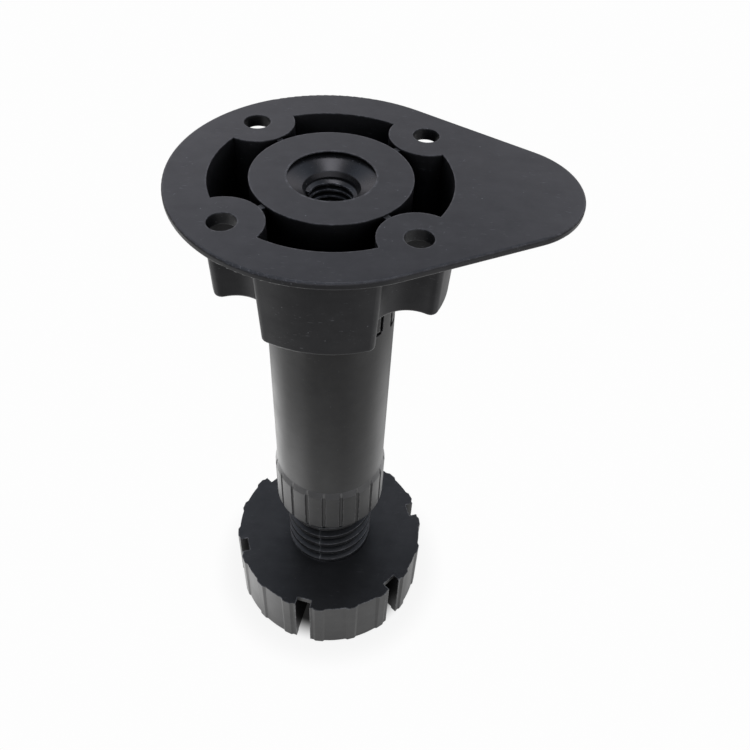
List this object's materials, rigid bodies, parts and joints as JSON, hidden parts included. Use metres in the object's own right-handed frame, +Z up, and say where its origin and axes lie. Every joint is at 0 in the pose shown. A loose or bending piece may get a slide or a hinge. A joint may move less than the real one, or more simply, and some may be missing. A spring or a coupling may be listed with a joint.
{
  "type": "furniture leveling foot",
  "caption": "Adjustable cabinet leg: drop-shaped screw-on socket plate, snap-in swivelling column tube and a wide foot on a coarse screw stem.",
  "frame": {"origin": "centre of the hub, and of the four screw holes, on the plate's mounting face", "axes": "+Z up along the column, out of the mounting face into the furniture; +X towards the plate's narrow tail"},
  "size_m": [0.0964, 0.0764, 0.1716],
  "materials": {
    "plate_plastic": "satin moulded black",
    "tube_plastic": "satin moulded black",
    "head_plastic": "smooth moulded black",
    "foot_plastic": "satin moulded blue-black"
  },
  "bodies": {
    "plate": {"mounting_plate": "plate_plastic"},
    "column": {"leg_tube": "tube_plastic", "threaded_head": "head_plastic"},
    "foot": {"leveling_foot": "foot_plastic"}
  },
  "joints": [
    {"name": "column_turn", "type": "hinge", "parent": "plate", "child": "column", "pos_m": [0, 0, -0.1], "axis": [0, 0, 1], "range_deg": [-1850, 355]},
    {"name": "foot_lift", "type": "slide", "parent": "plate", "child": "foot", "axis": [0, 0, 1], "range_m": [-0.005, 0.026]}
  ],
  "couplings": [
    {"joint": "foot_lift", "follows": "column_turn", "m_per_rad": -0.00079577}
  ]
}
